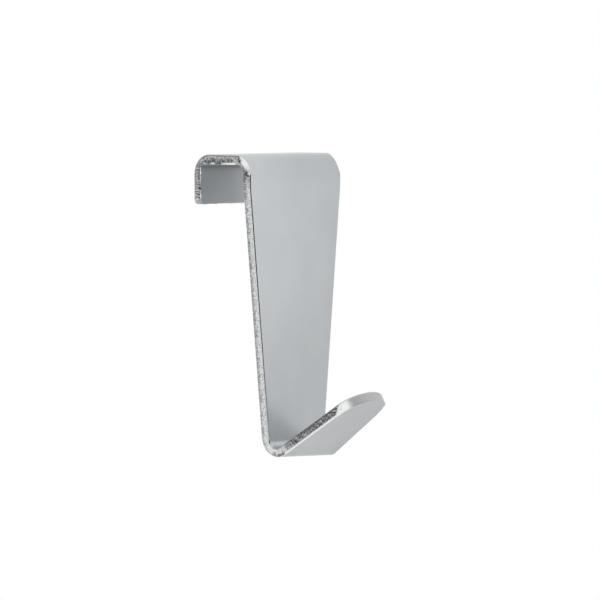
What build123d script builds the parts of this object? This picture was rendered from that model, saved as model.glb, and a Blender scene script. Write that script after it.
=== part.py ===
"""Partition wall hook: one tapered strip of zinc-plated sheet steel, blanked flat, then folded three times.

The channel at the top drops over the edge of a partition panel. The stem hangs down the face of the
panel, and its foot is folded forward and up into a short arm with a round end.

Units are mm. The origin is the middle of the partition seat, the underside of the top leg.
+Z is up, the width runs along X and the arm points towards -Y.
"""

import os
from math import acos, atan2, cos, hypot, radians, sin, tan

from build123d import *

# Sheet
SHEET = 2.0  # thickness of the strip
ROLLOVER = 0.25  # rounded edge on the side the punch entered; the burr side stays square

# Channel over the panel
PANEL = 12.0  # thickness of the panel
PANEL_CLEARANCE = 0.2  # play of the panel in the channel
LIP_HEIGHT = 10.0  # from the top of the hook down to the end of the lip
LIP_CORNER = 1.0  # radius of the two free corners of the lip
CHANNEL_OUTSIDE = 4.2  # outside radius of the two folds of the channel
LIP_INSIDE = 0.5  # inside radius of the fold at the lip, struck nearly sharp: it thins the sheet by a third
FRONT_INSIDE = 1.8  # inside radius of the fold at the stem, where the sheet hardly thins

# Stem
TOP_WIDTH = 25.0  # width of the strip round the channel
SHOULDER = 6.2  # from the top of the hook down to where the strip starts to taper
HEIGHT = 60.0  # from the top of the hook down to the lowest point of the foot
FOOT_OUTSIDE = 4.0  # outside radius of the fold at the foot
FOOT_INSIDE = 1.6  # its inside radius, pressed tight: the sheet thins by a fifth there

# Arm
ARM_ANGLE = 30.5  # rise of the arm above level, in degrees
ARM_LENGTH = 21.7  # from the end of the foot fold to the end of the arm
TIP_RADIUS = 5.5  # round end of the arm

# Levels and folds
half_gap = (PANEL + PANEL_CLEARANCE) / 2
middle_radius = FOOT_OUTSIDE - SHEET / 2
top_z = SHEET
lip_end_z = top_z - LIP_HEIGHT
shoulder_z = top_z - SHOULDER
fold_centre = (0, -half_gap - FOOT_OUTSIDE, top_z - HEIGHT + FOOT_OUTSIDE)
fold_turn = 90 + ARM_ANGLE
rise = radians(ARM_ANGLE)

# Taper: the sides of the flat blank run straight from the shoulders until they touch the round end
half_top = TOP_WIDTH / 2
stem_run = shoulder_z - fold_centre[2]
fold_run = middle_radius * radians(fold_turn)
tip_run = ARM_LENGTH - TIP_RADIUS
taper_run = stem_run + fold_run + tip_run
taper_angle = acos(TIP_RADIUS / hypot(half_top, taper_run)) - atan2(taper_run, half_top)
half_stem_end = half_top - stem_run * tan(taper_angle)
half_arm_start = half_stem_end - fold_run * tan(taper_angle)

# Channel: lip, top leg and head of the stem, folded from the strip at its full width
inside = [(half_gap, lip_end_z), (half_gap, 0), (-half_gap, 0), (-half_gap, shoulder_z)]
outside = [
    (-half_gap - SHEET, shoulder_z),
    (-half_gap - SHEET, top_z),
    (half_gap + SHEET, top_z),
    (half_gap + SHEET, lip_end_z),
]
section = make_face(Polyline(*inside, *outside, close=True))
section = fillet(section.vertices().sort_by(Axis.Y)[-2:], CHANNEL_OUTSIDE)
for side, radius in ((0, FRONT_INSIDE), (-1, LIP_INSIDE)):
    seat_corners = section.vertices().filter_by(lambda corner: corner.Y == 0).sort_by(Axis.X)
    section = fillet(seat_corners[side], radius)
channel = extrude(Plane.YZ * section, half_top, both=True)
lip_corners = channel.edges().filter_by(Axis.Y).filter_by(lambda edge: edge.center().Y > half_gap)
channel = fillet(lip_corners, LIP_CORNER)

# Stem: a flat plate that narrows from the shoulders to the foot
stem_plane = Plane((0, -half_gap - SHEET / 2, 0), x_dir=(1, 0, 0), z_dir=(0, -1, 0))
stem_outline = Polyline(
    (-half_top, shoulder_z),
    (half_top, shoulder_z),
    (half_stem_end, fold_centre[2]),
    (-half_stem_end, fold_centre[2]),
    close=True,
)
stem = extrude(stem_plane * make_face(stem_outline), SHEET / 2, both=True)

# Foot: stem and arm meet in a corner, rounded outside and inside, its sides cut to the taper of the blank
half_corner = radians(180 - fold_turn) / 2
apex_z = fold_centre[2] - FOOT_OUTSIDE / tan(half_corner)
inner_apex_z = apex_z + SHEET / tan(half_corner)
reach_y, reach_z = -ARM_LENGTH * cos(rise), ARM_LENGTH * sin(rise)
bar = Polyline(
    (-half_gap, shoulder_z),
    (-half_gap, apex_z),
    (-half_gap + reach_y, apex_z + reach_z),
    (-half_gap - SHEET + reach_y, inner_apex_z + reach_z),
    (-half_gap - SHEET, inner_apex_z),
    (-half_gap - SHEET, shoulder_z),
    close=True,
)
bend = make_face(bar)
inner_apex = bend.vertices().sort_by_distance((-half_gap - SHEET, inner_apex_z))[0]
bend = fillet(inner_apex, FOOT_INSIDE)
bend = fillet(bend.vertices().sort_by(Axis.Y)[0], FOOT_OUTSIDE)
fold_plane = Plane(fold_centre, x_dir=(0, 1, 0), z_dir=(-1, 0, 0))
fold_path = fold_plane * CenterArc((0, 0), middle_radius, 0, fold_turn)
fold_start = Plane(fold_path @ 0, x_dir=(1, 0, 0), z_dir=fold_path % 0)
fold_end = Plane(fold_path @ 1, x_dir=(1, 0, 0), z_dir=fold_path % 1)
cut_depth = 1.4 * SHEET
taper_sections = [
    fold_start * Rectangle(2 * half_stem_end, cut_depth),
    fold_end * Rectangle(2 * half_arm_start, cut_depth),
]
taper_cut = sweep(taper_sections, path=fold_path, multisection=True)
foot = extrude(Plane.YZ * bend, half_top, both=True) & taper_cut

# Arm: a flat plate on the end of the foot, closed by the round end
arm_plane = Plane(fold_end.origin, x_dir=(1, 0, 0), z_dir=(0, -sin(rise), -cos(rise)))
touch_x = TIP_RADIUS * cos(taper_angle)
touch_y = tip_run + TIP_RADIUS * sin(taper_angle)
arm_sides = Polyline((-touch_x, touch_y), (-half_arm_start, 0), (half_arm_start, 0), (touch_x, touch_y))
arm_end = ThreePointArc((touch_x, touch_y), (0, ARM_LENGTH), (-touch_x, touch_y))
arm = extrude(arm_plane * make_face(arm_sides + arm_end), SHEET / 2, both=True)

hook = channel + stem + foot + arm

# Rolled edge: the rim of the punch side, which is outside round the channel and inside at the foot
walls = hook.faces().filter_by(Plane.XZ).sort_by(Axis.Y)
levels = hook.faces().filter_by(Plane.XY).sort_by(Axis.Z)
slopes = hook.faces().filter_by(arm_plane).sort_by(Axis.Z)
folds = hook.faces().filter_by(GeomType.CYLINDER).sort_by(Axis.Z)
punch_side = [walls[0], walls[-1], levels[-1], slopes[-1], folds[1], folds[-2], folds[-1]]
punch_edges = [edge for face in punch_side for edge in face.edges()]
rim = [edge for edge in punch_edges if punch_edges.count(edge) == 1]
hook = hook.fillet(ROLLOVER, rim)

hook.label = "hook"
os.makedirs("parts", exist_ok=True)
export_step(hook, "parts/hook.step")
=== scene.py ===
"""Partition wall hook: a strip of zinc-plated sheet steel, blanked flat, then folded three times.

The strip is laid out flat as it leaves the blanking tool, with the rolled, burnished and torn bands of its
cut edge. Geometry Nodes roughen the torn band and press the three folds. Sizes are in metres, in the CAD
frame.
"""

import math

import bpy
import numpy as np
from bpy.props import FloatProperty, FloatVectorProperty, IntProperty, PointerProperty
from mathutils import Matrix, Vector
from mathutils.geometry import delaunay_2d_cdt


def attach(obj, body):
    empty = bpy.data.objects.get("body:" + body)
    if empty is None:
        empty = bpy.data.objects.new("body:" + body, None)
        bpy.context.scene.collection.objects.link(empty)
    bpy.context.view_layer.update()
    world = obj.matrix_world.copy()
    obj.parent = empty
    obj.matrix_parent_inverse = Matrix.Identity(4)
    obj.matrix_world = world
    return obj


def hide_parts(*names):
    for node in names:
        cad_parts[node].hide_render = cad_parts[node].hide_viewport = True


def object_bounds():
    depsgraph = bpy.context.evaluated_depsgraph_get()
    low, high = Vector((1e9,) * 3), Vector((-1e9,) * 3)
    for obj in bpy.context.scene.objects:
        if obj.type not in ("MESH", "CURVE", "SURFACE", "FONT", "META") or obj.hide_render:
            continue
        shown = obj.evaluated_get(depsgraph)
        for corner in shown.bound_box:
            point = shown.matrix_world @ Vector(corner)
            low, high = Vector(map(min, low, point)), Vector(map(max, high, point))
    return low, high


bl_info = {
    "name": "Partition wall hook",
    "version": (1, 0, 0),
    "blender": (4, 5, 0),
    "location": "View3D > Sidebar > Partition hook",
    "description": "Folds a sheet steel hook with sheared edges on its CAD frame, and sets its studio",
    "category": "Object",
}

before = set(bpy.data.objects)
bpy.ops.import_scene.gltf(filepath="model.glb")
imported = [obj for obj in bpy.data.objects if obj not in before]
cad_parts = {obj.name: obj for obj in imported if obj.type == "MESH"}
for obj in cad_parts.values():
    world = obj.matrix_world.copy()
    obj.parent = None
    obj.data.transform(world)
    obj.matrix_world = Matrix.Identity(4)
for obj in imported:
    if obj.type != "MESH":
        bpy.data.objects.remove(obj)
CAD_LOW, CAD_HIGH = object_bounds()
MM = 0.001
QUARTER = math.pi / 2
WHITE = (1.0, 1.0, 1.0, 1.0)
NOISE_LOW, NOISE_HIGH = 0.3, 0.7  # nearly all of a noise pattern lies between these


def linear(hex_colour):
    """The linear colour of an sRGB hex value, with full alpha."""
    parts = [int(hex_colour[i : i + 2], 16) / 255 for i in (1, 3, 5)]
    return [c / 12.92 if c <= 0.04045 else ((c + 0.055) / 1.055) ** 2.4 for c in parts] + [1.0]


def length(name, description, default):
    """A length in metres that a user may change."""
    return FloatProperty(
        name=name, description=description, default=round(default, 7), min=0.0, unit="LENGTH", precision=5
    )


def angle(name, description, degrees):
    """An angle that a user may change, written in degrees."""
    return FloatProperty(name=name, description=description, default=math.radians(degrees), subtype="ANGLE")


def colour(name, description, hex_colour):
    """A colour that a user may change, written in sRGB hex."""
    return FloatVectorProperty(
        name=name, description=description, default=linear(hex_colour),
        subtype="COLOR", size=4, min=0.0, max=1.0,
    )


class HookSizes(bpy.types.PropertyGroup):
    """Sizes of the strip and its folds."""

    sheet: length("Sheet", "Thickness of the strip", CAD_HIGH.z)
    rollover: length("Rollover", "Radius of the edge on the punch side", 0.25 * MM)
    channel: length("Channel", "Clear width over the panel", 2 * (CAD_HIGH.y - CAD_HIGH.z))
    lip_height: length("Lip height", "From the top down to the end of the lip", 10.0 * MM)
    lip_corner: length("Lip corner", "Radius of the free corners of the lip", 1.0 * MM)
    channel_outside: length("Channel outside", "Outside radius of the two folds of the channel", 4.2 * MM)
    lip_inside: length("Lip inside", "Inside radius of the fold at the lip, struck nearly sharp", 0.5 * MM)
    front_inside: length("Front inside", "Inside radius of the fold at the stem", 1.8 * MM)
    top_width: length("Top width", "Width of the strip round the channel", CAD_HIGH.x - CAD_LOW.x)
    shoulder: length("Shoulder", "From the top down to where the taper starts", 6.2 * MM)
    shoulder_ease: length("Shoulder ease", "Radius that eases the start of the taper", 35.0 * MM)
    height: length("Height", "From the top down to the lowest point of the foot", CAD_HIGH.z - CAD_LOW.z)
    foot_outside: length("Foot outside", "Outside radius of the fold at the foot", 4.0 * MM)
    foot_inside: length("Foot inside", "Inside radius of the fold at the foot", 1.6 * MM)
    arm_angle: angle("Arm angle", "Rise of the arm above level", 30.5)
    arm_length: length("Arm length", "From the foot fold to the end of the arm", 21.7 * MM)
    tip_radius: length("Tip radius", "Round end of the arm", 5.5 * MM)


class HookEdge(bpy.types.PropertyGroup):
    """How the cut edge came off the blanking tool."""

    step: length("Step", "Spacing of the points round the blank", 0.13 * MM)
    burr: length("Burr", "Width of the dulled corner on the far side from the punch", 0.05 * MM)
    # The rubbed line is partly rubbed burr, partly a painted highlight
    rubbed_and_glint: length("Rubbed", "Height of the line rubbed bright along that corner", 0.42 * MM)
    rounding: length("Rounding", "Depth to which that line is rubbed round", 0.12 * MM)
    patch: length("Patch", "Length of the rubbed places", 3.2 * MM)
    tear_share: FloatProperty(
        name="Tear share", description="Share of the thickness that tore instead of shearing clean",
        default=0.62, min=0.0, max=1.0, subtype="FACTOR",
    )
    tear_depth: length("Tear depth", "Depth of the pits in the torn band", 0.05 * MM)
    tear_grain: length("Tear grain", "Size of the pits along the edge", 0.28 * MM)
    wander: length("Wander", "Length over which the band's limit wanders", 1.0 * MM)
    draw: length("Draw", "How far the outside of the front fold is drawn in sideways", 0.45 * MM)
    cropped: length("Cropped", "Length at the end of the lip that tore across its whole thickness", 1.2 * MM)
    clean_tip: length("Clean tip", "Last length of the arm whose edge was cut clean", 5.0 * MM)
    clean_start: length("Clean start", "Length over which the tear runs out there", 0.6 * MM)
    # Painted highlight: the length painted bright where that clean edge starts
    highlight_length: length("Highlight Length", "Length rubbed bright where that clean edge starts", 1.9 * MM)
    seed: IntProperty(name="Seed", description="Pattern of the tear", default=7)


class HookFinish(bpy.types.PropertyGroup):
    """Colours of the plating."""

    zinc: colour("Zinc", "Plated face of the sheet", "#CACDCF")
    # Duller clouds, and also the colour of the painted shade on one side, the top and the foot
    zinc_dull_and_shade: colour("Dull zinc", "Duller clouds in the plating", "#B6B9BB")
    # Thin plating, and also painted shade in the creases of the channel's folds
    zinc_thin_and_shade: colour("Thin zinc", "Thin plating inside the folds of the channel", "#A2A5A7")
    burnished: colour("Burnished", "Band that the tool sheared clean", "#E2E3E3")
    torn: colour("Torn", "High places of the torn band", "#C2C4C5")
    pit: colour("Pit", "Low places of the torn band", "#878A8D")
    # Rubbed burr, brightened to a painted highlight
    rubbed_and_glint: colour("Rubbed", "Burr rubbed bright", "#F4F4F4")
    clean: colour("Clean", "Edge round the end of the arm, cut clean", "#B8BABC")


class HookStage(bpy.types.PropertyGroup):
    """Camera, floor and light."""

    azimuth: angle("Azimuth", "Camera round the hook", -43.887)
    elevation: angle("Elevation", "Camera above the hook", 1.645)
    roll: angle("Roll", "Camera about its own axis", 0.219)
    lens: FloatProperty(name="Lens", description="Focal length in millimetres", default=900.0, unit="CAMERA")
    distance: length("Distance", "From the camera to the hook", 2.983)
    aim: FloatVectorProperty(
        name="Aim", description="Point of the stem that the camera's height and side are counted from",
        default=(0.0, -0.0061, -0.02783), subtype="TRANSLATION", unit="LENGTH", precision=6,
    )
    aim_right: length("Aim right", "The picture's middle lies this far right of the aim", 2.1643 * MM)
    aim_up: length("Aim up", "The picture's middle lies this far above the aim", 0.7757 * MM)
    floor_drop: length("Floor drop", "Clear height under the foot", 40.0 * MM)
    floor_reach: length("Floor reach", "From the middle of the floor to its sides", 12.0)
    paper: colour("Paper", "Floor", "#F6F6F6")
    flag: colour("Flag", "Dark card that the bright metal mirrors", "#121314")


class HookSettings(bpy.types.PropertyGroup):
    """All that the panel shows."""

    sizes: PointerProperty(type=HookSizes)
    edge: PointerProperty(type=HookEdge)
    finish: PointerProperty(type=HookFinish)
    stage: PointerProperty(type=HookStage)


# Kinds of node that come up often
MATH = "ShaderNodeMath"
VECTOR_MATH = "ShaderNodeVectorMath"
RANGE = "ShaderNodeMapRange"  # its inputs: a value, low, high, and what low and high become
NOISE = "ShaderNodeTexNoise"
MIX = "ShaderNodeMix"
ATTRIBUTE = "ShaderNodeAttribute"
NAMED = "GeometryNodeInputNamedAttribute"


def add(tree, kind, inputs=(), **settings):
    """Adds a node to a tree, gives it its settings, and sets or links its inputs. Returns the node.

    The inputs are named, or listed in the order of the sockets. A node stands for its first output in use.
    """
    columns, column_width, row_height = 12, 190, 260
    node = tree.nodes.new(kind)
    row, column = divmod(len(tree.nodes), columns)
    node.location = (column_width * column, -row_height * row)
    for name, value in settings.items():
        setattr(node, name, value)
    named = inputs if isinstance(inputs, dict) else dict(enumerate(inputs))
    for key, value in named.items():
        if isinstance(value, bpy.types.Node):
            value = next(socket for socket in value.outputs if socket.enabled)
        if isinstance(value, bpy.types.NodeSocket):
            tree.links.new(value, node.inputs[key])
        else:
            node.inputs[key].default_value = value
    return node


def new_group(name, numbers, others=()):
    """An empty Geometry Nodes tree with a Geometry socket each way and named inputs, mostly numbers."""
    tree = bpy.data.node_groups.new(name, "GeometryNodeTree")
    tree.interface.new_socket("Geometry", in_out="INPUT", socket_type="NodeSocketGeometry")
    tree.interface.new_socket("Geometry", in_out="OUTPUT", socket_type="NodeSocketGeometry")
    for socket_name, socket_type in [(number, "NodeSocketFloat") for number in numbers] + list(others):
        tree.interface.new_socket(socket_name, in_out="INPUT", socket_type=socket_type)
    return tree, add(tree, "NodeGroupInput").outputs


def distance_off(tree, value, middle):
    """How far a value lies from a middle, either way."""
    off = add(tree, MATH, [value, middle], operation="SUBTRACT")
    return add(tree, MATH, [off], operation="ABSOLUTE")


# The flat blank


class Blank:
    """Places along the flat strip, counted from the end of the lip on its middle layer."""

    def __init__(self, sizes):
        channel_run = (sizes.channel_outside - sizes.sheet / 2) * QUARTER
        leg = sizes.channel + 2 * (sizes.sheet - sizes.channel_outside)
        self.foot_turn = QUARTER + sizes.arm_angle
        self.back_fold = sizes.lip_height - sizes.channel_outside
        self.leg_start = self.back_fold + channel_run
        self.front_fold = self.leg_start + leg
        self.stem_start = self.front_fold + channel_run
        self.shoulder = self.stem_start + sizes.shoulder - sizes.channel_outside
        self.foot_fold = self.stem_start + sizes.height - sizes.channel_outside - sizes.foot_outside
        self.arm_start = self.foot_fold + (sizes.foot_outside - sizes.sheet / 2) * self.foot_turn
        self.end = self.arm_start + sizes.arm_length
        self.tip_centre = self.end - sizes.tip_radius
        half, run = sizes.top_width / 2, self.tip_centre - self.shoulder
        self.taper = math.acos(sizes.tip_radius / math.hypot(half, run)) - math.atan2(run, half)
        self.folds = [
            (self.back_fold, self.leg_start),
            (self.front_fold, self.stem_start),
            (self.foot_fold, self.arm_start),
        ]

    def half_width(self, sizes, along):
        """Half the width of the blank at places along it."""
        tapered = sizes.top_width / 2 - np.maximum(along - self.shoulder, 0) * math.tan(self.taper)
        past = np.clip(along - self.tip_centre, 0, sizes.tip_radius)
        round_end = np.sqrt(sizes.tip_radius**2 - past**2)
        touch = self.tip_centre + sizes.tip_radius * math.sin(self.taper)
        return np.where(along > touch, round_end, tapered)


def outline(sizes, blank, step):
    """Points round the flat blank and the way out at each, from the middle of the lip's end to the right."""
    half, corner, tip = sizes.top_width / 2, sizes.lip_corner, sizes.tip_radius
    c, s = math.cos(blank.taper), math.sin(blank.taper)
    touch = (tip * c, blank.tip_centre + tip * s)
    points, outward = [], []

    def straight(start, end, out):
        count = math.ceil(math.dist(start, end) / step)
        share = np.arange(count)[:, None] / count
        points.append(np.array(start) * (1 - share) + np.array(end) * share)
        outward.append(np.tile(out, (count, 1)))

    def arc(centre, radius, first, last):
        count = math.ceil(radius * (last - first) / step)
        turns = first + (last - first) * np.arange(count) / count
        way = np.stack([np.cos(turns), np.sin(turns)], 1)
        points.append(np.array(centre) + radius * way)
        outward.append(way)

    straight((0, 0), (half - corner, 0), (0, -1))
    arc((half - corner, corner), corner, -QUARTER, 0)
    ease = sizes.shoulder_ease
    ease_from = blank.shoulder - ease * math.tan(blank.taper / 2)
    straight((half, corner), (half, ease_from), (1, 0))
    arc((half - ease, ease_from), ease, 0, blank.taper)
    straight((half - ease * (1 - c), ease_from + ease * s), touch, (c, s))
    arc((0, blank.tip_centre), tip, blank.taper, QUARTER)
    right, way = np.concatenate(points), np.concatenate(outward)
    mirror = np.array([-1, 1])
    around = np.concatenate([right, [[0, blank.end]], right[:0:-1] * mirror])
    return around, np.concatenate([way, [[0, 1]], way[:0:-1] * mirror])


def edge_rings(sizes, edge):
    """Inset and height of each ring of the cut edge, from the burr side to the punch side.

    Also returns the numbers of the rings where the cut band and the rolled band start.
    """
    burr, rollover, sheet = edge.burr, sizes.rollover, sizes.sheet
    dulled = 0.3 * burr
    burr_rim, punch_rim = 0.06 * MM, 0.15 * MM  # flat rims that keep the shading of the faces level
    cut_rows, rolled_rows = 21, 7
    burr_side = [(burr + burr_rim, 0), (burr, 0), (dulled, dulled)]
    cut = [(0, height) for height in np.linspace(burr, sheet - rollover, cut_rows, endpoint=False)]
    turns = np.linspace(0, QUARTER, rolled_rows)
    rolled = [(rollover * (1 - math.cos(a)), sheet - rollover * (1 - math.sin(a))) for a in turns]
    punch_side = [(rollover + punch_rim, sheet)]
    return np.array(burr_side + cut + rolled + punch_side), 1, len(burr_side) + len(cut)


def inner_points(sizes, blank, margin):
    """Points over the middle of a face, close together along the folds."""
    flat_step, fold_step, across_step = 1.6 * MM, 0.13 * MM, 1.55 * MM
    rows, start = [], 0.0
    for first, last in blank.folds + [(blank.end, blank.end)]:
        for low, high, step in ((start, first, flat_step), (first, last, fold_step)):
            rows.append(np.linspace(low, high, max(2, math.ceil((high - low) / step)), endpoint=False))
        start = last
    reach = int(sizes.top_width / 2 / across_step)
    across = np.arange(-reach, reach + 1) * across_step
    x, s = (g.ravel() for g in np.meshgrid(across, np.concatenate(rows)))
    inside = (np.abs(x) < blank.half_width(sizes, s) - margin) & (s > margin) & (s < blank.end - margin)
    return np.stack([x, s], 1)[inside]


def cap(ring, inner):
    """Triangles over a face: the ring's own numbers first, then the inner points'."""
    inside_only, same_point, sliver = 1, 1e-7, 1e-9
    points = np.concatenate([ring, inner]) / MM
    count = len(ring)
    sides = [(i, (i + 1) % count) for i in range(count)]
    places = [Vector(p) for p in points]
    _, _, faces, source, _, _ = delaunay_2d_cdt(places, sides, [], inside_only, same_point)
    number = [origin[0] for origin in source]
    triangles = np.array([[number[v] for v in face] for face in faces])
    a, b, c = (points[triangles[:, i]] for i in range(3))
    area = (b[:, 0] - a[:, 0]) * (c[:, 1] - a[:, 1]) - (b[:, 1] - a[:, 1]) * (c[:, 0] - a[:, 0])
    triangles[area < 0] = triangles[area < 0][:, ::-1]
    return triangles[np.abs(area) > sliver]


def flat_blank(sizes, edge):
    """The blank as a closed flat mesh, its middle layer at Y = 0 and its length up Z from the lip's end."""
    burr_margin, punch_margin = 1.0 * MM, 1.3 * MM  # what the inner points keep clear of along the edge
    blank = Blank(sizes)
    points, way = outline(sizes, blank, edge.step)
    rings, cut_from, rolled_from = edge_rings(sizes, edge)
    count = len(points)
    walk = np.concatenate([[0], np.cumsum(np.linalg.norm(np.roll(points, -1, 0) - points, axis=1))])

    flat = np.concatenate([points - way * inset for inset, _ in rings])
    height = np.repeat(rings[:, 1], count)
    rim_out = np.tile(way, (len(rings), 1))
    burr_inner = inner_points(sizes, blank, burr_margin)
    punch_inner = inner_points(sizes, blank, punch_margin)
    burr_cap = cap(flat[:count], burr_inner)
    punch_cap = cap(flat[-count:], punch_inner)
    ring_total = len(flat)
    punch_first = ring_total + len(burr_inner)
    burr_cap = np.where(burr_cap < count, burr_cap, burr_cap - count + ring_total)
    punch_cap = np.where(punch_cap < count, punch_cap + ring_total - count, punch_cap - count + punch_first)
    triangles = np.concatenate([burr_cap, punch_cap[:, ::-1]])

    flat = np.concatenate([flat, burr_inner, punch_inner])
    height = np.concatenate([height, np.zeros(len(burr_inner)), np.full(len(punch_inner), sizes.sheet)])
    rim_out = np.concatenate([rim_out, np.zeros((len(burr_inner) + len(punch_inner), 2))])

    here = np.arange(count)
    after = (here + 1) % count
    quads, quad_uv, quad_cut = [], [], []
    for ring in range(len(rings) - 1):
        low, high = ring * count, (ring + 1) * count
        quads.append(np.stack([low + here, high + here, high + after, low + after], 1))
        is_cut = cut_from <= ring < rolled_from
        quad_cut.append(np.full(count, is_cut))
        if is_cut:
            u = np.stack([walk[:-1], walk[:-1], walk[1:], walk[1:]], 1)
            v = np.tile(rings[[ring, ring + 1, ring + 1, ring], 1], (count, 1))
            quad_uv.append(np.stack([u, v], -1))
        else:
            quad_uv.append(flat[quads[-1]])

    mesh = bpy.data.meshes.new("flat_blank")
    places = np.stack([flat[:, 0], height - sizes.sheet / 2, flat[:, 1]], 1)
    mesh.from_pydata(places.tolist(), [], np.concatenate(quads).tolist() + triangles.tolist())
    uv = np.concatenate([np.concatenate(quad_uv).reshape(-1, 2), flat[triangles].reshape(-1, 2)]) / MM
    mesh.uv_layers.new(name="developed").data.foreach_set("uv", uv.astype(np.float32).ravel())
    rolled = np.zeros(len(flat))
    rolled[rolled_from * count : (len(rings) - 2) * count] = 1
    for name, values in (("along", flat[:, 1]), ("through", height / sizes.sheet), ("rolled", rolled)):
        mesh.attributes.new(name, "FLOAT", "POINT").data.foreach_set("value", values.astype(np.float32))
    for name in ("squeezed", "foot_glints"):
        mesh.attributes.new(name, "FLOAT", "POINT")
    rim = np.stack([rim_out[:, 0], np.zeros(len(flat)), rim_out[:, 1]], 1).astype(np.float32)
    mesh.attributes.new("rim_out", "FLOAT_VECTOR", "POINT").data.foreach_set("vector", rim.ravel())
    cut = np.concatenate([*quad_cut, np.zeros(len(triangles), bool)])
    mesh.attributes.new("cut", "BOOLEAN", "FACE").data.foreach_set("value", cut)
    mesh.shade_smooth()
    return mesh, blank


# The tear and the folds

TEAR_INPUTS = (
    "Tear Share", "Tear Depth", "Tear Grain", "Wander", "Cropped", "Clean From", "Clean Length", "Highlight Length",
    "Rubbed From", "Rubbed Share", "Rounding", "Patch", "Back Fold", "Leg From", "Front Fold", "Stem From",
    "Seed",
)
FOLD_INPUTS = ("Fold Line", "Turn", "Outside Radius", "Inside Radius", "Sheet", "Draw")
PRESS_INPUTS = (
    "Sheet", "Channel Outside", "Lip Inside", "Front Inside", "Foot Fold", "Foot Turn", "Foot Outside",
    "Foot Inside", "Draw",
)


def strip_places(tree):
    """Where each point of the strip is, how far along and through the sheet, and the way out at its rim."""
    kinds = (("along", "FLOAT"), ("through", "FLOAT"), ("rim_out", "FLOAT_VECTOR"))
    named = [add(tree, NAMED, {"Name": name}, data_type=kind) for name, kind in kinds]
    return add(tree, "GeometryNodeInputPosition"), *named


def tear_limit(tree, given, along, wander):
    """How far through the thickness the steel tore along the strip, and where its tear is grainy."""
    lip_share, leg_share, stem_share = 0.46, 1.18, 0.75  # factors on the torn share
    swing, calm = 0.3, 0.4  # how far its limit wanders, and how much of that is left round the channel
    fold_middle, fold_end = 0.5, 1.0  # shares of the front fold's run
    in_front = add(tree, RANGE, [along, given["Front Fold"], given["Stem From"]], clamp=False)
    limit = add(tree, RANGE, [wander, NOISE_LOW, NOISE_HIGH, -swing, swing])
    lively = add(tree, RANGE, [in_front, fold_middle, fold_end, calm, 1.0])
    limit = add(tree, MATH, [limit, lively, given["Tear Share"]], operation="MULTIPLY_ADD")
    # The tear is shallow round the lip, less deep down the stem than on the top leg, and full on the arm
    at_lip = add(tree, RANGE, [along, given["Back Fold"], given["Leg From"], lip_share, 1.0])
    down_stem = add(tree, RANGE, [in_front, fold_middle, fold_end, leg_share, stem_share])
    on_arm = add(tree, MATH, [along, given["Rubbed From"]], operation="GREATER_THAN")
    down_stem = add(tree, MATH, [down_stem, on_arm], operation="MAXIMUM")
    # The front fold smears it, most of all a little way into the turn
    smear_middle, smear_full, smear_reach, smear_left = 0.27, 0.2, 0.5, 0.4
    smooth, rough = 0.25, 0.6  # how far from there the grain sets in and is full
    off = distance_off(tree, in_front, smear_middle)
    smeared = add(tree, RANGE, [off, smear_full, smear_reach, smear_left, 1.0])
    grainy = add(tree, RANGE, [off, smooth, rough])
    for factor in (at_lip, smeared, down_stem):
        limit = add(tree, MATH, [limit, factor], operation="MULTIPLY")
    # The end of the lip was cropped off, which tore it right through
    cropped = add(tree, RANGE, [along, 0.0, given["Cropped"], 1.0, 0.0])
    return add(tree, MATH, [limit, cropped], operation="ADD"), grainy


def rub_corner(tree, given, along, through, ragged, patches, not_clean):
    """Rubs the corner on the far side from the punch: round the channel in places, and all along the arm.

    Returns how bright it is painted, rubbed metal with a painted highlight, and how deep it is rubbed round.
    """
    missed, hit = 0.39, 0.5  # missed, hit = 0.39, 0.5 # noise levels of places that are left alone and fully rubbed and painted bright
    patches = add(tree, RANGE, [patches, missed, hit])
    on_channel = add(tree, MATH, [along, given["Front Fold"]], operation="LESS_THAN")
    on_arm = add(tree, MATH, [along, given["Rubbed From"]], operation="GREATER_THAN")
    for operation, other in (("MULTIPLY", on_channel), ("MAXIMUM", on_arm), ("MULTIPLY", not_clean)):
        patches = add(tree, MATH, [patches, other], operation=operation)
    # It widens and deepens towards the end of the tear, until it takes most of the edge
    lead, widest, deepest = -0.7, 4.5, 2.4  # in polished lengths, and as factors
    widen_from = add(tree, MATH, [given["Highlight Length"], lead, given["Clean From"]], operation="MULTIPLY_ADD")
    widening = add(tree, RANGE, [ragged, widen_from, given["Clean From"], 1.0, widest])
    deepening = add(tree, RANGE, [widening, 1.0, widest, 1.0, deepest])
    reach = add(tree, MATH, [given["Rubbed Share"], widening], operation="MULTIPLY")
    up = add(tree, MATH, [through, reach], operation="DIVIDE")
    fade_from = 0.55  # share of the rubbed height
    bright = add(tree, RANGE, [up, fade_from, 1.0, 1.0, 0.0])
    bright = add(tree, MATH, [patches, bright], operation="MULTIPLY")
    depth = add(tree, RANGE, [up, 0.0, 1.0, 1.0, 0.0])
    for factor in (patches, deepening, given["Rounding"]):
        depth = add(tree, MATH, [depth, factor], operation="MULTIPLY")
    return bright, depth


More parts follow.
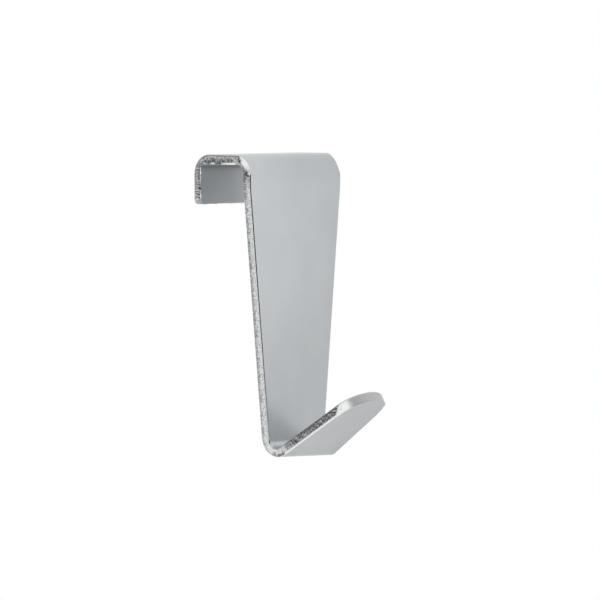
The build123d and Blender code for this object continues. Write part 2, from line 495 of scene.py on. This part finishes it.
def tear_group():
    """Pits the torn band of the cut edge, rubs its corner round, and leaves the end of the arm clean."""
    tree, given = new_group("torn_edge", TEAR_INPUTS)
    place, along, through, rim_out = strip_places(tree)
    # The wandering limit, the pits, which are drawn out the way the steel tore, and the rubbed patches with
    # painted highlight
    noises = []
    for size, squash, detail, roughness in (
        ("Wander", 1.0, 2.0, 0.6),
        ("Tear Grain", 0.3, 2.0, 0.55),
        ("Patch", 1.0, 3.0, 0.5),
    ):
        scale = add(tree, MATH, [1.0, given[size]], operation="DIVIDE")
        drawn = add(tree, VECTOR_MATH, [place, (1.0, squash, 1.0)], operation="MULTIPLY")
        noise = add(
            tree, NOISE,
            {"Vector": drawn, "W": given["Seed"], "Scale": scale, "Detail": detail, "Roughness": roughness},
            noise_dimensions="4D",
        )
        noises.append(noise)
    wander, pits, patches = noises

    # The tear runs out along a ragged line before the end of the arm
    limit, grainy = tear_limit(tree, given, along, wander)
    ragged_by = 0.7 * MM
    ragged = add(tree, RANGE, [wander, NOISE_LOW, NOISE_HIGH, -ragged_by, ragged_by])
    ragged = add(tree, MATH, [along, ragged], operation="ADD")
    clean_to = add(tree, MATH, [given["Clean From"], given["Clean Length"]], operation="ADD")
    rest = add(tree, RANGE, [ragged, given["Clean From"], clean_to, 1.0, 0.0])
    limit = add(tree, MATH, [limit, rest], operation="MULTIPLY")
    below = add(tree, MATH, [limit, through], operation="SUBTRACT")
    blend_from, blend_to = -0.1, 0.3  # shares of the thickness
    torn = add(tree, RANGE, [below, blend_from, blend_to], interpolation_type="SMOOTHSTEP")
    level, low, deepest = 0.32, 0.72, 0.9  # noise levels of no pit and of the deepest, and its depth
    pits = add(tree, RANGE, [pits, level, low, 0.0, deepest])
    pit = add(tree, MATH, [pits, torn], operation="MULTIPLY")

    # Where the tear ends the edge carries a painted highlight, and from there on it is clean
    sheared = add(tree, MATH, [1.0, rest], operation="SUBTRACT")
    dull_from, dull_to = (
        add(tree, MATH, [given["Highlight Length"], lengths, given["Clean From"]], operation="MULTIPLY_ADD")
        for lengths in (1.0, 1.5)
    )
    clean = add(tree, RANGE, [along, dull_from, dull_to])
    not_clean = add(tree, MATH, [1.0, clean], operation="SUBTRACT")
    tip_highlight = add(tree, MATH, [sheared, not_clean], operation="MULTIPLY")
    rubbed_and_glint, rounding = rub_corner(tree, given, along, through, ragged, patches, not_clean)

    # The pits leave the flat of the burr side alone
    skin = 0.001  # share of the thickness
    on_edge = add(tree, MATH, [through, skin], operation="GREATER_THAN")
    depth = add(tree, MATH, [pit, on_edge], operation="MULTIPLY")
    depth = add(tree, MATH, [depth, given["Tear Depth"], rounding], operation="MULTIPLY_ADD")
    depth = add(tree, MATH, [depth, -1.0], operation="MULTIPLY")
    inward = add(tree, VECTOR_MATH, {0: rim_out, "Scale": depth}, operation="SCALE")
    marked = given["Geometry"]
    for name, value in (
        ("torn", torn), ("pit", pit), ("grainy", grainy),
        ("rubbed_and_glint", rubbed_and_glint), ("tip_highlight", tip_highlight), ("clean", clean),
    ):
        marked = add(
            tree, "GeometryNodeStoreNamedAttribute", {"Geometry": marked, "Name": name, "Value": value},
            data_type="FLOAT", domain="POINT",
        )
    moved = add(tree, "GeometryNodeSetPosition", {"Geometry": marked, "Offset": inward})
    add(tree, "NodeGroupOutput", [moved])
    return tree


def squeezed_radius(tree, radius, inner, half_turn, off):
    """Distance of the squeezed inside from the fold's axis, at an angle from the middle of the fold.

    The flat faces run on past the fold line, and an arc of the inside radius joins them.
    """
    half_cos, half_sin, off_cos, off_sin = (
        add(tree, MATH, [turned], operation=operation)
        for turned in (half_turn, off)
        for operation in ("COSINE", "SINE")
    )
    flat_angle = add(tree, MATH, [half_turn, off], operation="SUBTRACT")
    flat_cos = add(tree, MATH, [flat_angle], operation="COSINE")
    on_flat = add(tree, MATH, [inner, flat_cos], operation="DIVIDE")
    shift = add(tree, MATH, [inner, radius], operation="SUBTRACT")
    shift = add(tree, MATH, [shift, half_cos], operation="DIVIDE")
    near = add(tree, MATH, [shift, off_cos], operation="MULTIPLY")
    wide = add(tree, MATH, [shift, off_sin], operation="MULTIPLY")
    wide_square, radius_square = (
        add(tree, MATH, [side, 2.0], operation="POWER") for side in (wide, radius)
    )
    chord = add(tree, MATH, [radius_square, wide_square], operation="SUBTRACT")
    chord = add(tree, MATH, [chord], operation="SQRT")
    on_arc = add(tree, MATH, [near, chord], operation="ADD")
    reach = add(tree, MATH, [shift, half_sin], operation="MULTIPLY")
    reach = add(tree, MATH, [reach, inner], operation="ARCTAN2")
    is_flat = add(tree, MATH, [flat_angle, reach], operation="LESS_THAN")
    return add(tree, MIX, {"Factor": is_flat, "A": on_arc, "B": on_flat}, data_type="FLOAT")


def fold_group():
    """Presses one fold: what lies past the fold line turns about the axis of the fold's outside.

    The outside becomes an arc. The inside is squeezed into the corner until its own, tighter arc is left.
    """
    tree, given = new_group("press_fold", FOLD_INPUTS)
    place, along, through, rim_out = strip_places(tree)
    side = add(tree, MATH, [given["Turn"]], operation="SIGN")
    turn = add(tree, MATH, [given["Turn"]], operation="ABSOLUTE")
    half_turn = add(tree, MATH, [turn, 2.0], operation="DIVIDE")
    half_sheet = add(tree, MATH, [given["Sheet"], 2.0], operation="DIVIDE")
    middle = add(tree, MATH, [given["Outside Radius"], half_sheet], operation="SUBTRACT")
    inner = add(tree, MATH, [middle, half_sheet], operation="SUBTRACT")

    # Angle of each place within the fold, and its angle from the middle of the fold
    run = add(tree, MATH, [turn, middle], operation="MULTIPLY")
    past = add(tree, MATH, [along, given["Fold Line"]], operation="SUBTRACT")
    used = add(tree, "ShaderNodeClamp", [past, 0.0, run])
    turned_by = add(tree, MATH, [used, middle], operation="DIVIDE")
    off = distance_off(tree, turned_by, half_turn)
    squeezed = squeezed_radius(tree, given["Inside Radius"], inner, half_turn, off)
    squeeze = add(tree, MATH, [squeezed, inner], operation="SUBTRACT")

    # The squeeze fades from the inside of the fold to its outside; the way of the turn says which is which
    share = add(tree, MATH, [through, 0.5], operation="SUBTRACT")
    share = add(tree, MATH, [share, side], operation="MULTIPLY")
    share = add(tree, MATH, [0.5, share], operation="SUBTRACT")
    push = add(tree, MATH, [share, squeeze], operation="MULTIPLY")
    push = add(tree, MATH, [push, side], operation="MULTIPLY")
    back = add(tree, MATH, [used, -1.0], operation="MULTIPLY")
    step = add(tree, "ShaderNodeCombineXYZ", [0.0, push, back])
    laid = add(tree, VECTOR_MATH, [place, step], operation="ADD")

    other_side = add(tree, MATH, [side, -1.0], operation="MULTIPLY")
    behind = add(tree, MATH, [middle, other_side], operation="MULTIPLY")
    axis_place = add(tree, "ShaderNodeCombineXYZ", [0.0, behind, given["Fold Line"]])
    signed = add(tree, MATH, [turned_by, side], operation="MULTIPLY")
    turned = add(
        tree, "ShaderNodeVectorRotate", {"Vector": laid, "Center": axis_place, "Angle": signed},
        rotation_type="X_AXIS",
    )

    # The stretched outside is drawn in sideways, most of all past the middle of the turn, with soft ends
    pull_middle, pull_half, stretched = 0.57, 0.43, 0.72  # shares of the turn, and of the thickness
    steepness, softness = 3.0, 1.5
    pull = add(tree, MATH, [turned_by, turn], operation="DIVIDE")
    pull = distance_off(tree, pull, pull_middle)
    for operation, value in (("DIVIDE", pull_half), ("POWER", steepness)):
        pull = add(tree, MATH, [pull, value], operation=operation)
    pull = add(tree, MATH, [1.0, pull], operation="SUBTRACT", use_clamp=True)
    pull = add(tree, MATH, [pull, softness], operation="POWER")
    outer_share = add(tree, RANGE, [share, stretched, 0.0])
    drawn = add(tree, MATH, [outer_share, pull], operation="MULTIPLY")
    drawn = add(tree, MATH, [drawn, given["Draw"]], operation="MULTIPLY")
    sideways = add(tree, VECTOR_MATH, [rim_out, (-1.0, 0.0, 0.0)], operation="MULTIPLY")
    inward = add(tree, VECTOR_MATH, {0: sideways, "Scale": drawn}, operation="SCALE")

    # The folds of the channel are squeezed matt where they are tight; the same mark paints shade there
    loose, tight = 0.1, 0.65  # squeeze, as a share of half the sheet
    matt = add(tree, MATH, [squeeze, half_sheet], operation="DIVIDE")
    matt = add(tree, RANGE, [matt, loose, tight])
    matt = add(tree, MATH, [share, matt], operation="MULTIPLY")
    matt = add(tree, MATH, [matt, side], operation="MULTIPLY", use_clamp=True)
    # Painted highlight: bright spots round the fold at the foot, which turns the other way
    glint_middle, glint_full, glint_reach = 0.7, 0.3, 0.75  # shares of the fold's run
    late = add(tree, MATH, [past, run], operation="DIVIDE")
    late = distance_off(tree, late, glint_middle)
    glinting = add(tree, RANGE, [late, glint_full, glint_reach, 1.0, 0.0])
    glinting = add(tree, MATH, [glinting, other_side], operation="MULTIPLY", use_clamp=True)
    marked = given["Geometry"]
    for name, value in (("squeezed", matt), ("foot_glints", glinting)):
        before = add(tree, NAMED, {"Name": name}, data_type="FLOAT")
        total = add(tree, MATH, [value, before], operation="ADD")
        marked = add(
            tree, "GeometryNodeStoreNamedAttribute", {"Geometry": marked, "Name": name, "Value": total},
            data_type="FLOAT", domain="POINT",
        )
    moved = add(tree, "GeometryNodeSetPosition", {"Geometry": marked, "Position": turned, "Offset": inward})
    add(tree, "NodeGroupOutput", [moved])
    return tree


def strip_tree():
    """The whole press work: tears the edge, folds foot, front and back, and sets the strip in its place."""
    others = [("Place", "NodeSocketVector")]
    others += [(name, "NodeSocketMaterial") for name in ("Face", "Cut Edge")]
    tree, given = new_group("pressed_strip", PRESS_INPUTS + TEAR_INPUTS, others)
    tear_inputs = {name: given[name] for name in ("Geometry", *TEAR_INPUTS)}
    part = add(tree, "GeometryNodeGroup", tear_inputs, node_tree=tear_group())
    press = fold_group()
    foot_turn = add(tree, MATH, [given["Foot Turn"], -1.0], operation="MULTIPLY")
    for line, turn, outside, inside, draw in (
        ("Foot Fold", foot_turn, "Foot Outside", "Foot Inside", 0.0),
        ("Front Fold", QUARTER, "Channel Outside", "Front Inside", given["Draw"]),
        ("Back Fold", QUARTER, "Channel Outside", "Lip Inside", 0.0),
    ):
        fold_inputs = {
            "Geometry": part, "Sheet": given["Sheet"], "Fold Line": given[line], "Turn": turn, "Draw": draw,
            "Outside Radius": given[outside], "Inside Radius": given[inside],
        }
        part = add(tree, "GeometryNodeGroup", fold_inputs, node_tree=press)
    placed = add(tree, "GeometryNodeTransform", {"Geometry": part, "Translation": given["Place"]})
    real = add(tree, "GeometryNodeRealizeInstances", {"Geometry": placed})
    faced = add(tree, "GeometryNodeSetMaterial", {"Geometry": real, "Material": given["Face"]})
    cut = add(tree, NAMED, {"Name": "cut"}, data_type="BOOLEAN")
    edged = add(
        tree, "GeometryNodeSetMaterial", {"Geometry": faced, "Selection": cut, "Material": given["Cut Edge"]}
    )
    add(tree, "NodeGroupOutput", [edged])
    return tree


# Materials


def new_material(name):
    """An empty node material and its tree."""
    material = bpy.data.materials.new(name)
    material.use_nodes = True
    material.node_tree.nodes.clear()
    return material, material.node_tree


def show_metal(tree, base, rough, bump):
    """Ends a material's tree with a metal of this colour, roughness and bump."""
    bumped = add(tree, "ShaderNodeBump", bump)
    looks = {"Base Color": base, "Metallic": 1.0, "Roughness": rough, "Normal": bumped}
    metal = add(tree, "ShaderNodeBsdfPrincipled", looks)
    add(tree, "ShaderNodeOutputMaterial", {"Surface": metal})


def zinc_sheet(finish):
    """Electroplated zinc on cold-rolled sheet: a satin, slightly blue grey with soft clouds and grain."""
    cloud, grit, half_width = 9.0, 0.25, 12.0  # mm, as the developed coordinates are
    satin_low, satin_high = 0.28, 0.36  # roughness
    material, tree = new_material("zinc_plated_steel_satin_sheet")
    developed = add(tree, "ShaderNodeUVMap", uv_map="developed")
    # Clouds, a little drawn out along the strip, where the bath plated thicker
    stretched = add(tree, "ShaderNodeMapping", {"Vector": developed, "Scale": (1.0, 0.6, 1.0)})
    clouds = add(tree, NOISE, {"Vector": stretched, "Scale": 1 / cloud, "Detail": 3.0})
    shade = add(tree, RANGE, [clouds, NOISE_LOW, NOISE_HIGH, 0.0, 0.3])
    # Painted shade: one side of the face, the top and the foot are darkened towards the dull zinc
    spread = add(tree, "ShaderNodeSeparateXYZ", [developed]).outputs
    shaded_side = add(tree, RANGE, [spread["X"], -half_width, half_width, 0.0, 0.7])
    shade = add(tree, MATH, [shade, shaded_side], operation="ADD")
    for middle, full, reach, shade_depth in ((17.0, 5.0, 9.0, 0.25), (65.0, 0.0, 22.0, 0.5)):
        off = distance_off(tree, spread["Y"], middle)
        painted_shade = add(tree, RANGE, [off, full, reach, shade_depth, 0.0])
        shade = add(tree, MATH, [shade, painted_shade], operation="ADD")
    # Inside the folds of the channel the plating is thin and squeezed matt, and painted shade darkens the
    # crease
    rolled, squeezed = (
        add(tree, ATTRIBUTE, attribute_name=name).outputs["Fac"]
        for name in ("rolled", "squeezed")
    )
    base = finish.zinc
    for factor, over in ((shade, finish.zinc_dull_and_shade), (squeezed, finish.zinc_thin_and_shade)):
        base = add(tree, MIX, {"Factor": factor, "A": base, "B": over}, data_type="RGBA")
    # Satin grain of the plating, drawn coarse so that it shows; the punch dragged the rolled edge smoother
    grain = add(tree, NOISE, {"Vector": developed, "Scale": 1 / grit, "Detail": 2.0})
    rough = add(tree, RANGE, [grain, 0.2, 0.8, satin_low, satin_high])
    for factor, roughness in ((rolled, 0.13), (squeezed, 0.62)):
        rough = add(tree, MIX, {"Factor": factor, "A": rough, "B": roughness}, data_type="FLOAT")
    bump = {"Height": grain, "Strength": 0.06, "Distance": 0.06 * MM}
    show_metal(tree, base, rough, bump)
    return material


def zinc_cut_edge(finish):
    """The blanked edge under the same plating: bright where it sheared, dull and pitted where it tore."""
    speck, drag_line, spot = 0.45, 0.3, 0.9  # mm
    speck_share, pit_share, streak_share, faint_share = 0.5, 0.4, 0.6, 0.6  # how far each darkens the edge
    material, tree = new_material("zinc_plated_steel_sheared_edge")
    developed = add(tree, "ShaderNodeUVMap", uv_map="developed")
    torn, pit, grainy, rubbed_and_glint, foot_glints, tip_highlight, clean = (
        add(tree, ATTRIBUTE, attribute_name=name).outputs["Fac"]
        for name in ("torn", "pit", "grainy", "rubbed_and_glint", "foot_glints", "tip_highlight", "clean")
    )
    # Dark specks, smeared away in the front fold
    specks = add(tree, NOISE, {"Vector": developed, "Scale": 1 / speck, "Detail": 2.0, "Roughness": 0.7})
    specks = add(tree, RANGE, [specks, 0.43, 0.58])
    specks = add(tree, MATH, [specks, grainy], operation="MULTIPLY")
    # Drag lines of the tool run through the thickness, drawn coarse so that they show
    lines = add(tree, "ShaderNodeMapping", {"Vector": developed, "Scale": (1.0, 0.15, 1.0)})
    drag = add(tree, NOISE, {"Vector": lines, "Scale": 1 / drag_line, "Detail": 2.0})
    streaks = add(tree, RANGE, [drag, 0.47, 0.57, 0.0, streak_share])
    # In the torn band specks, pits and drag lines add up; in the burnished one the specks are fainter
    dark = add(tree, MATH, [specks, speck_share, streaks], operation="MULTIPLY_ADD")
    dark = add(tree, MATH, [pit, pit_share, dark], operation="MULTIPLY_ADD", use_clamp=True)
    faint = add(tree, MATH, [specks, faint_share], operation="MULTIPLY")
    sheared, tear = (
        add(tree, MIX, {"Factor": factor, "A": high, "B": finish.pit}, data_type="RGBA")
        for factor, high in ((faint, finish.burnished), (dark, finish.torn))
    )
    # Rubbed corner partly painted highlight; painted highlights where the arm's tear ends and in spots at
    # the foot
    glint_spots = add(tree, NOISE, {"Vector": developed, "Scale": 1 / spot, "Detail": 2.0})
    glint_spots = add(tree, RANGE, [glint_spots, 0.4, 0.56])
    glint_spots = add(tree, MATH, [glint_spots, foot_glints], operation="MULTIPLY")
    matt = add(tree, MATH, [glint_spots, tip_highlight], operation="MAXIMUM")
    bright = add(tree, MATH, [matt, rubbed_and_glint], operation="MAXIMUM")
    # Round the end of the arm the edge is about as smooth and grey as the face
    base = sheared
    for factor, over in ((torn, tear), (bright, finish.rubbed_and_glint), (clean, finish.clean)):
        base = add(tree, MIX, {"Factor": factor, "A": base, "B": over}, data_type="RGBA")
    rough = 0.2
    for factor, roughness in ((torn, 0.24), (matt, 0.42), (rubbed_and_glint, 0.3), (clean, 0.4)):
        rough = add(tree, MIX, {"Factor": factor, "A": rough, "B": roughness}, data_type="FLOAT")
    bump = {"Height": drag, "Strength": 0.4, "Distance": 0.04 * MM}
    show_metal(tree, base, rough, bump)
    return material


def studio_paper(stage):
    """Matt white background paper, which fades to plain white away from the hook."""
    fade_from, fade_to = 60.0 * MM, 200.0 * MM
    material, tree = new_material("white_studio_paper")
    matt = add(tree, "ShaderNodeBsdfDiffuse", {"Color": stage.paper})
    white = add(tree, "ShaderNodeEmission", {"Color": WHITE, "Strength": 1.0})
    place = add(tree, "ShaderNodeTexCoord").outputs["Object"]
    away = add(tree, VECTOR_MATH, [place], operation="LENGTH")
    fade = add(tree, RANGE, [away, fade_from, fade_to], interpolation_type="SMOOTHSTEP")
    paper = add(tree, "ShaderNodeMixShader", [fade, matt, white])
    # From below the paper lets the camera look through
    clear = add(tree, "ShaderNodeBsdfTransparent")
    under = add(tree, "ShaderNodeNewGeometry").outputs["Backfacing"]
    sided = add(tree, "ShaderNodeMixShader", [under, paper, clear])
    add(tree, "ShaderNodeOutputMaterial", {"Surface": sided})
    return material


def felt_card(stage):
    """Black felt on card: a deep, matt black that bright metal mirrors as dark lines."""
    material, tree = new_material("black_felt_card")
    felt = add(tree, "ShaderNodeBsdfDiffuse", {"Color": stage.flag})
    add(tree, "ShaderNodeOutputMaterial", {"Surface": felt})
    return material


def plate(name, half_wide, half_high, material):
    """A flat rectangle in its own XY plane, for the floor and the cards."""
    corners = [(x * half_wide, y * half_high, 0) for x, y in ((-1, -1), (1, -1), (1, 1), (-1, 1))]
    mesh = bpy.data.meshes.new(name)
    mesh.from_pydata(corners, [], [(0, 1, 2, 3)])
    mesh.materials.append(material)
    return bpy.data.objects.new(name, mesh)


class HOOK_OT_press_strip(bpy.types.Operator):
    """Blanks and folds the strip and puts it in place of its CAD solid."""

    bl_idname = "partition_hook.press_strip"
    bl_label = "Press the strip"

    def execute(self, context):
        settings = context.scene.partition_hook
        sizes, edge, finish = settings.sizes, settings.edge, settings.finish
        mesh, blank = flat_blank(sizes, edge)
        raw = bpy.data.objects.new("flat_blank", mesh)
        context.collection.objects.link(raw)
        modifier = raw.modifiers.new("Press", "NODES")
        modifier.node_group = strip_tree()
        values = {
            "Sheet": sizes.sheet,
            "Back Fold": blank.back_fold,
            "Leg From": blank.leg_start,
            "Front Fold": blank.front_fold,
            "Stem From": blank.stem_start,
            "Channel Outside": sizes.channel_outside,
            "Lip Inside": sizes.lip_inside,
            "Front Inside": sizes.front_inside,
            "Foot Fold": blank.foot_fold,
            "Foot Turn": blank.foot_turn,
            "Foot Outside": sizes.foot_outside,
            "Foot Inside": sizes.foot_inside,
            "Draw": edge.draw,
            "Tear Share": edge.tear_share,
            "Tear Depth": edge.tear_depth,
            "Tear Grain": edge.tear_grain,
            "Wander": edge.wander,
            "Cropped": edge.cropped,
            "Clean From": blank.end - edge.clean_tip,
            "Clean Length": edge.clean_start,
            "Highlight Length": edge.highlight_length,
            "Rubbed From": blank.arm_start,
            "Rubbed Share": edge.rubbed_and_glint / sizes.sheet,
            "Rounding": edge.rounding,
            "Patch": edge.patch,
            "Seed": float(edge.seed),
            "Place": (0.0, sizes.channel / 2 + sizes.sheet / 2, sizes.sheet - sizes.lip_height),
            "Face": zinc_sheet(finish),
            "Cut Edge": zinc_cut_edge(finish),
        }
        for socket in modifier.node_group.interface.items_tree:
            if socket.in_out == "INPUT" and socket.name in values:
                modifier[socket.identifier] = values[socket.name]
        graph = context.evaluated_depsgraph_get()
        pressed = bpy.data.meshes.new_from_object(
            raw.evaluated_get(graph), preserve_all_data_layers=True, depsgraph=graph
        )
        bpy.data.objects.remove(raw)
        for name in ("along", "through", "rim_out", "cut"):
            pressed.attributes.remove(pressed.attributes[name])
        pressed.name = "hook_strip"
        strip = bpy.data.objects.new("hook_strip", pressed)
        context.collection.objects.link(strip)
        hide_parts("hook")
        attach(strip, "root")
        return {"FINISHED"}


class HOOK_OT_set_stage(bpy.types.Operator):
    """Sets the floor, the light, the dark cards and the camera."""

    bl_idname = "partition_hook.set_stage"
    bl_label = "Set the stage"

    def execute(self, context):
        stage = context.scene.partition_hook.stage
        self.set_world(context)
        self.set_floor(context, stage)
        self.set_camera(context, stage)
        self.set_lamps(context)
        self.set_cards(context, stage)
        context.scene.view_settings.view_transform = "Standard"
        return {"FINISHED"}

    def set_world(self, context):
        """White all round, a little dimmer where it lights matt surfaces."""
        world = bpy.data.worlds.new("white_studio")
        context.scene.world = world
        world.use_nodes = True
        tree = world.node_tree
        tree.nodes.clear()
        path = add(tree, "ShaderNodeLightPath").outputs
        seen = path["Is Camera Ray"]
        for kind in ("Is Glossy Ray", "Is Transmission Ray"):
            seen = add(tree, MATH, [seen, path[kind]], operation="ADD", use_clamp=True)
        soft, white = (
            add(tree, "ShaderNodeBackground", {"Color": WHITE, "Strength": strength})
            for strength in (0.7, 1.0)
        )
        mixed = add(tree, "ShaderNodeMixShader", [seen, soft, white])
        add(tree, "ShaderNodeOutputWorld", {"Surface": mixed})

    def set_floor(self, context, stage):
        """Paper a little way under the foot, its middle about under the hook's."""
        middle_y = -10.0 * MM
        floor = plate("floor", stage.floor_reach, stage.floor_reach, studio_paper(stage))
        floor.location = (0, middle_y, CAD_LOW.z - stage.floor_drop)
        context.collection.objects.link(floor)

    def set_camera(self, context, stage):
        """A long lens at the photo's angle."""
        a, e, r = stage.azimuth, stage.elevation, stage.roll
        back = Vector((math.sin(a) * math.cos(e), -math.cos(a) * math.cos(e), math.sin(e)))
        level_right = Vector((math.cos(a), math.sin(a), 0))
        level_up = back.cross(level_right)
        right = level_right * math.cos(r) - level_up * math.sin(r)
        up = level_right * math.sin(r) + level_up * math.cos(r)
        place = Vector(stage.aim) + right * stage.aim_right + up * stage.aim_up + back * stage.distance
        data = bpy.data.cameras.new("camera")
        data.sensor_width = 36.0
        data.lens = stage.lens
        camera = bpy.data.objects.new("camera", data)
        camera.matrix_world = Matrix.Translation(place) @ Matrix((right, up, back)).transposed().to_4x4()
        context.collection.objects.link(camera)
        context.scene.camera = camera

    def facing(self, obj, bearing, elevation, distance):
        """Stands a lamp or a card at a bearing from +X and an elevation, in degrees, facing the hook."""
        a, e = math.radians(bearing), math.radians(elevation)
        out = Vector((math.cos(a) * math.cos(e), math.sin(a) * math.cos(e), math.sin(e)))
        obj.location = (CAD_LOW + CAD_HIGH) / 2 + out * distance
        obj.rotation_euler = out.to_track_quat("Z", "Y").to_euler()

    def set_lamps(self, context):
        """A large softbox overhead, and a weak one at the side that the cut edge mirrors."""
        for name, bearing, elevation, distance, size, power, mirrored in (
            ("top_softbox", 200.0, 80.0, 0.9, 0.8, 2.7, False),
            ("side_softbox", 162.0, 22.0, 0.9, 0.56, 0.12, True),
        ):
            data = bpy.data.lights.new(name, "AREA")
            data.size = size
            data.energy = power
            lamp = bpy.data.objects.new(name, data)
            self.facing(lamp, bearing, elevation, distance)
            lamp.visible_glossy = mirrored
            context.collection.objects.link(lamp)

    def set_cards(self, context, stage):
        """Dark cards that only the metal sees, each as wide and high as an angle at the hook, in degrees."""
        material = felt_card(stage)
        for name, bearing, elevation, distance, width, height in (
            ("card_right", 243.0, 6.0, 0.3, 90.0, 46.0),
            ("card_left", 132.0, 8.8, 0.8, 50.0, 16.0),
            ("card_low", 149.5, 1.5, 0.8, 22.0, 9.0),
        ):
            half_wide, half_high = (distance * math.tan(math.radians(full / 2)) for full in (width, height))
            card = plate(name, half_wide, half_high, material)
            self.facing(card, bearing, elevation, distance)
            for kind in ("camera", "diffuse", "transmission", "volume_scatter", "shadow"):
                setattr(card, "visible_" + kind, False)
            context.collection.objects.link(card)


class HOOK_PT_panel(bpy.types.Panel):
    """Lists the settings and the two steps."""

    bl_idname = "HOOK_PT_panel"
    bl_label = "Partition hook"
    bl_space_type = "VIEW_3D"
    bl_region_type = "UI"
    bl_category = "Partition hook"

    def draw(self, context):
        settings = context.scene.partition_hook
        for group in (settings.sizes, settings.edge, settings.finish, settings.stage):
            box = self.layout.box()
            for name in group.__annotations__:
                box.prop(group, name)
        self.layout.operator(HOOK_OT_press_strip.bl_idname)
        self.layout.operator(HOOK_OT_set_stage.bl_idname)


CLASSES = (
    HookSizes, HookEdge, HookFinish, HookStage, HookSettings,
    HOOK_OT_press_strip, HOOK_OT_set_stage, HOOK_PT_panel,
)


def register():
    for cls in CLASSES:
        bpy.utils.register_class(cls)
    bpy.types.Scene.partition_hook = PointerProperty(type=HookSettings)


def unregister():
    del bpy.types.Scene.partition_hook
    for cls in reversed(CLASSES):
        bpy.utils.unregister_class(cls)


def main():
    register()
    bpy.ops.partition_hook.press_strip()
    bpy.ops.partition_hook.set_stage()


if __name__ == "__main__":
    main()
